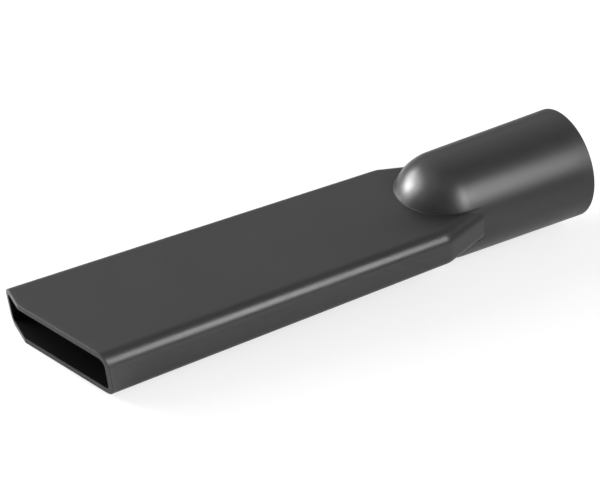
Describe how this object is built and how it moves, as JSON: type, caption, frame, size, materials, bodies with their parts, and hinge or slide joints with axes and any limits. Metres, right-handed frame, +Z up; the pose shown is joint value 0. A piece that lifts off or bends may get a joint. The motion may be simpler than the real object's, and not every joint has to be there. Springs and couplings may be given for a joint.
{
  "type": "vacuum crevice tool",
  "caption": "Moulded crevice tool: a round wand socket with a domed end that opens into a long flat duct with a slanted mouth.",
  "frame": {"origin": "on the socket's axis at the stop inside the socket, where the end of the wand comes to rest", "axes": "+X along the socket's axis out of its open end, so the mouth lies towards -X; +Z up, square to the duct's flat faces; +Y towards the longer side of the slanted mouth"},
  "size_m": [0.1828, 0.0503, 0.0368],
  "materials": {
    "body": "satin, finely textured by the mould, dark neutral grey"
  },
  "bodies": {
    "root": {"crevice_tool": "body"}
  },
  "joints": []
}
